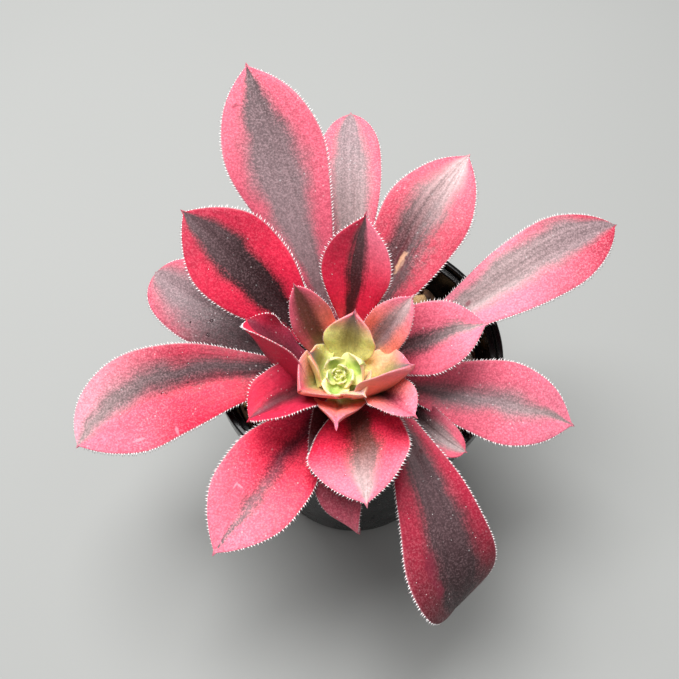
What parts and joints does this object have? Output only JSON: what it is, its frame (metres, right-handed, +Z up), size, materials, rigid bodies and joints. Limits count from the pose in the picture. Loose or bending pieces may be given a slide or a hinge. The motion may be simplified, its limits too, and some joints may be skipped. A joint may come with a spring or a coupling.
{
  "type": "potted aeonium",
  "caption": "Young aeonium with red and mauve striped, fringed leaves spiralling up a short leaning stem, in gritty soil in a round tapered nursery pot.",
  "frame": {"origin": "centre of the pot's flat underside", "axes": "+Z up along the pot's axis, +Y away from the viewer of the picture, +X to the viewer's right; the rosette leans towards -Y"},
  "size_m": [0.1182, 0.1073, 0.0981],
  "materials": {
    "pot": "glossy black injection-moulded plastic",
    "soil": "rough damp peat and bark with pale grit",
    "stem": "rough brown bark with leaf scars",
    "heart": "satin pale green",
    "leaf_inner": "satin salmon and yellow-green with a grey-green stripe",
    "leaf_middle": "satin crimson with a dark maroon stripe",
    "leaf_outer": "velvety pink to crimson with a grey-mauve stripe"
  },
  "bodies": {
    "root": {"pot": "pot", "soil": "soil", "stem": "stem", "heart": "heart", "leaf_inner_1": "leaf_inner", "leaf_inner_2": "leaf_inner", "leaf_inner_3": "leaf_inner", "leaf_inner_4": "leaf_inner", "leaf_inner_5": "leaf_inner", "leaf_inner_6": "leaf_inner", "leaf_middle_1": "leaf_middle", "leaf_middle_2": "leaf_middle", "leaf_middle_3": "leaf_middle", "leaf_middle_4": "leaf_middle", "leaf_middle_5": "leaf_middle", "leaf_middle_6": "leaf_middle", "leaf_middle_7": "leaf_middle", "leaf_middle_8": "leaf_middle", "leaf_outer_1": "leaf_outer", "leaf_outer_2": "leaf_outer", "leaf_outer_3": "leaf_outer", "leaf_outer_4": "leaf_outer", "leaf_outer_5": "leaf_outer", "leaf_outer_6": "leaf_outer", "leaf_outer_7": "leaf_outer", "leaf_outer_8": "leaf_outer", "leaf_outer_9": "leaf_outer", "leaf_outer_10": "leaf_outer", "leaf_outer_11": "leaf_outer", "leaf_outer_12": "leaf_outer"}
  },
  "joints": []
}
